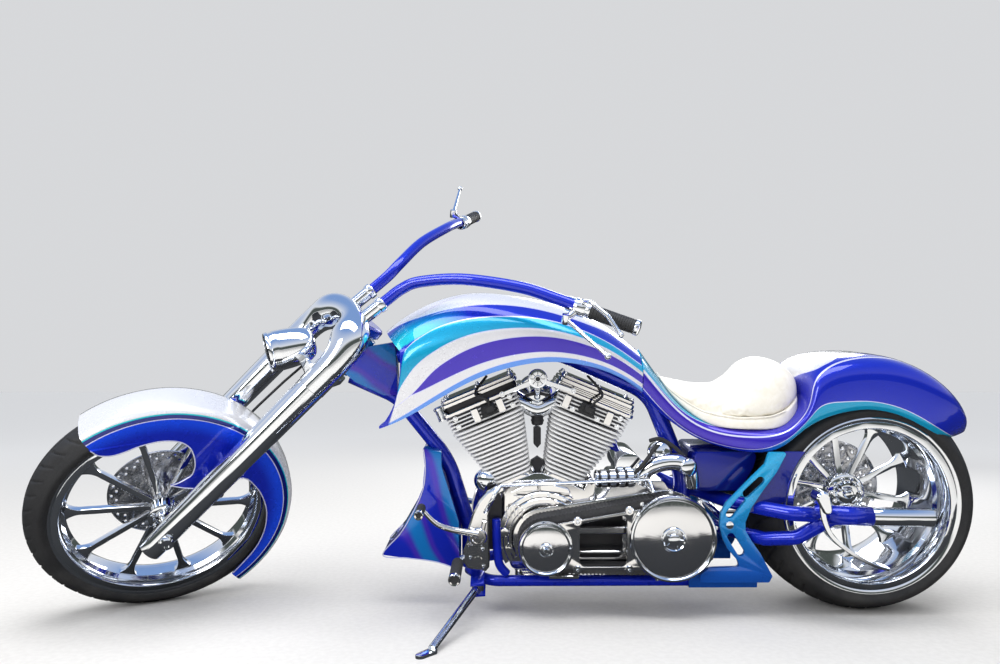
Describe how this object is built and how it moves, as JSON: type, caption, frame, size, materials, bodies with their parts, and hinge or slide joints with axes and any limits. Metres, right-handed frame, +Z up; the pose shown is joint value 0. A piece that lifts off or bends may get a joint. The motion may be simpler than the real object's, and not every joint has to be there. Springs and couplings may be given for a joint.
{
  "type": "chopper motorcycle",
  "caption": "Long low custom motorcycle with raked twin-tube fork, swept tank and tail, V engine with open belt drive, slim front and wide rear wheel, parked on its side stand.",
  "frame": {"origin": "middle of the footprint of the parked machine, on the floor", "axes": "+X to the rear of the machine, +Y to its right side, +Z up; it leans to -Y on its side stand with the fork turned to its left"},
  "size_m": [2.7495, 0.9814, 1.4274],
  "materials": {
    "candy_paint": "candy royal blue paint with pearl white, teal, silver and violet bands, high gloss",
    "chrome": "polished chrome plate",
    "polished_alloy": "polished aluminium",
    "cast_alloy": "fine cast aluminium with polished edges",
    "brushed_steel": "ground steel",
    "tyre_rubber": "black tyre rubber",
    "grip_rubber": "matt black rubber",
    "belt_rubber": "dark toothed belt",
    "seat_leather": "cream white stitched leather",
    "lamp_glass": "clear glass",
    "silver_paint": "light blue silver paint, gloss"
  },
  "bodies": {
    "root": {"frame_neck": "candy_paint", "frame_backbone": "candy_paint", "frame_downtube": "candy_paint", "struts": "candy_paint", "chin_fairing": "candy_paint", "fuel_tank": "candy_paint", "tail_body": "candy_paint", "seat": "seat_leather", "crankcase": "cast_alloy", "cylinder_front": "polished_alloy", "cylinder_rear": "polished_alloy", "intake": "chrome", "primary_belt": "belt_rubber", "primary_pulley": "polished_alloy", "clutch": "polished_alloy", "primary_frame": "polished_alloy", "gearbox": "cast_alloy", "starter": "chrome", "oil_tank": "silver_paint", "swingarm": "polished_alloy", "final_belt": "belt_rubber", "rear_caliper": "chrome", "exhaust_pipes": "chrome", "exhaust_tip": "chrome", "tail_bracket": "chrome", "controls": "polished_alloy", "shift_rod": "chrome", "rails": "candy_paint"},
    "fork": {"fork_legs": "chrome", "front_axle": "chrome", "fork_arch": "chrome", "fork_tree": "chrome", "headlight_shell": "chrome", "headlight_lens": "lamp_glass", "levers": "chrome", "handlebars": "candy_paint", "grips": "grip_rubber", "front_fender": "candy_paint", "front_caliper": "chrome", "brake_hose": "grip_rubber"},
    "front_wheel": {"front_tyre": "tyre_rubber", "front_wheel": "chrome", "front_disc": "brushed_steel"},
    "rear_wheel": {"rear_tyre": "tyre_rubber", "rear_wheel": "chrome", "rear_disc": "brushed_steel", "rear_axle": "chrome"},
    "side_stand": {"side_stand": "chrome"}
  },
  "joints": [
    {"name": "steering", "type": "hinge", "parent": "root", "child": "fork", "pos_m": [-0.5017, -0.09338, 0.7701], "axis": [0.6579, -0.078, 0.749], "range_deg": [-71, 0]},
    {"name": "front_wheel_spin", "type": "hinge", "parent": "fork", "child": "front_wheel", "pos_m": [-1.05419, -0.13378, 0.31665], "axis": [-0.4375, 0.7699, 0.4645], "continuous": true},
    {"name": "rear_wheel_spin", "type": "hinge", "parent": "root", "child": "rear_wheel", "pos_m": [1.04082, -0.04739, 0.33386], "axis": [-0.0003, 0.9946, 0.1038], "continuous": true},
    {"name": "side_stand_fold", "type": "hinge", "parent": "root", "child": "side_stand", "pos_m": [-0.1085, -0.17469, 0.08615], "axis": [-0.0877, -0.3052, 0.9482], "range_deg": [0, 101]}
  ]
}
